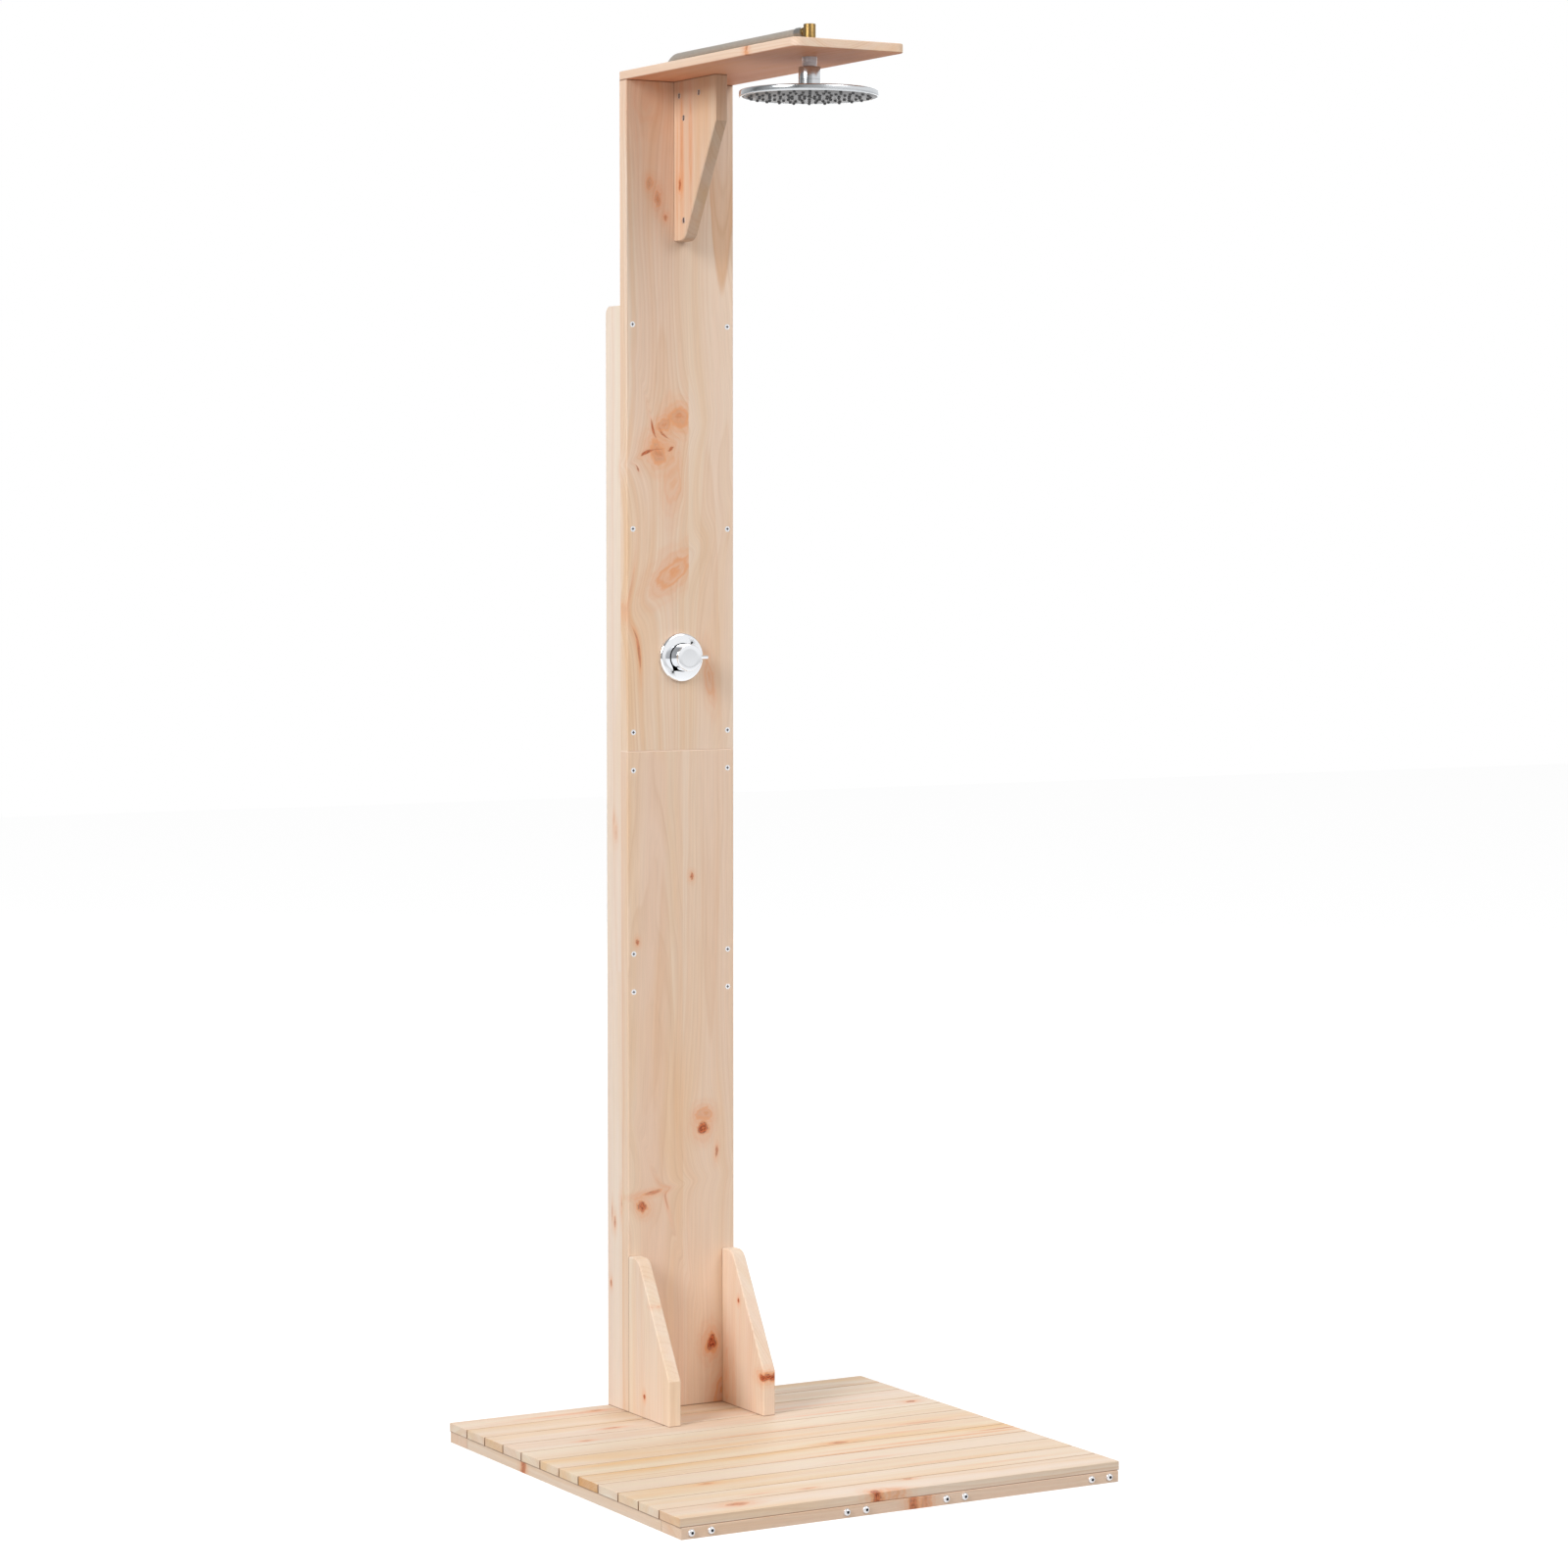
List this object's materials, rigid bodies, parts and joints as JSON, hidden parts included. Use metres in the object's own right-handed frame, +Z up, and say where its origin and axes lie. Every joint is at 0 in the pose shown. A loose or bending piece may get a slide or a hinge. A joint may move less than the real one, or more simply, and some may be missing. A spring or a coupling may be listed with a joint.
{
  "type": "outdoor shower post",
  "caption": "Free-standing pine outdoor shower: slatted platform, gusseted column, cantilevered arm, round rain head on a swivel joint, rear hose and stick-lever valve.",
  "frame": {"origin": "on the floor at the centre of the platform's footprint", "axes": "+X to the user's right as they face the column from the front, +Y towards the column's back, +Z up"},
  "size_m": [0.7, 0.7092, 2.0285],
  "materials": {
    "pine": "sanded, unfinished",
    "zinc_steel": "bright zinc",
    "chrome": "polished",
    "plated_brass": "satin plate",
    "bare_brass": "matte",
    "spray_face": "satin",
    "silicone": "matte",
    "slip_plastic": "matte",
    "disc_ceramic": "lapped",
    "hose_braid": "woven",
    "crimped_steel": "satin"
  },
  "bodies": {
    "stand": {"slat_01": "pine", "slat_02": "pine", "slat_03": "pine", "slat_04": "pine", "slat_05": "pine", "slat_06": "pine", "slat_07": "pine", "slat_08": "pine", "slat_09": "pine", "slat_10": "pine", "slat_11": "pine", "slat_12": "pine", "front_rail": "pine", "back_rail": "pine", "left_outer_beam": "pine", "left_inner_beam": "pine", "right_inner_beam": "pine", "right_outer_beam": "pine", "lower_board": "pine", "upper_board": "pine", "left_lower_batten": "pine", "left_upper_batten": "pine", "right_lower_batten": "pine", "right_upper_batten": "pine", "left_gusset": "pine", "right_gusset": "pine", "arm_bracket": "pine", "arm_board": "pine", "frame_bolts": "zinc_steel", "bracket_bolts": "zinc_steel", "barrel_nuts": "zinc_steel", "board_screws": "zinc_steel", "long_screws": "zinc_steel", "threaded_nipple": "zinc_steel", "collar_nut": "chrome", "escutcheon": "chrome", "lock_nut": "chrome", "union_nut": "chrome", "valve_body": "plated_brass", "lower_tail": "plated_brass", "retainer": "plated_brass", "brass_elbow": "bare_brass", "upper_tail": "bare_brass", "seal_washers": "silicone", "valve_gasket": "silicone", "cartridge": "slip_plastic", "fixed_disc": "disc_ceramic", "hose": "hose_braid", "ferrules": "crimped_steel"},
    "handle": {"spindle": "bare_brass", "moving_disc": "disc_ceramic", "valve_cap": "chrome", "stick_lever": "chrome"},
    "swivel": {"slip_ring": "slip_plastic"},
    "head": {"ball_stem": "plated_brass", "head_shell": "chrome", "spray_plate": "spray_face", "nozzles": "silicone"}
  },
  "joints": [
    {"name": "valve_turn", "type": "hinge", "parent": "stand", "child": "handle", "pos_m": [0, 0.2685, 1.143], "axis": [0, -1, 0], "range_deg": [0, 90]},
    {"name": "head_swivel", "type": "hinge", "parent": "stand", "child": "swivel", "pos_m": [0, -0.09, 1.9525], "axis": [0, 0, 1], "continuous": true},
    {"name": "head_tilt", "type": "hinge", "parent": "swivel", "child": "head", "pos_m": [0, -0.09, 1.9525], "axis": [1, 0, 0], "range_deg": [-12, 12]}
  ]
}
